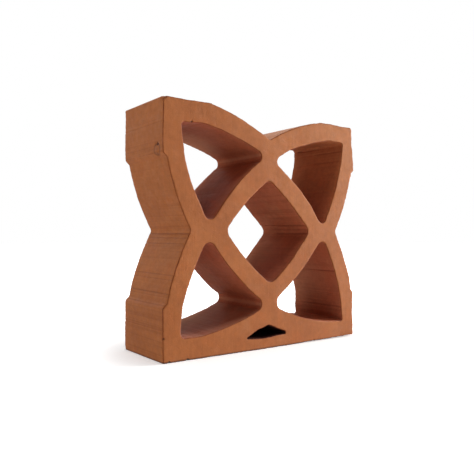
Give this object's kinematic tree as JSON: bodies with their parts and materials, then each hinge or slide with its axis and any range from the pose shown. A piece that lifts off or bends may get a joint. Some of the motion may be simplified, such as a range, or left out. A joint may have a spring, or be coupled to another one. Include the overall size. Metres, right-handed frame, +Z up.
{
  "type": "terracotta breeze block",
  "caption": "Pierced fired-clay screen block: a curved-sided diamond inside a pinched square frame, with corner openings, corner pads and a flat bed.",
  "frame": {"origin": "centre of the flat bed face that the block stands on", "axes": "+Z up the block's height, +X across its face, +Y from the front cut face to the back cut face, along the extrusion"},
  "size_m": [0.25, 0.08, 0.243],
  "materials": {
    "fired_clay": "unglazed matt terracotta, wire-cut faces and fine drag lines along the extrusion"
  },
  "bodies": {
    "root": {"block": "fired_clay"}
  },
  "joints": []
}
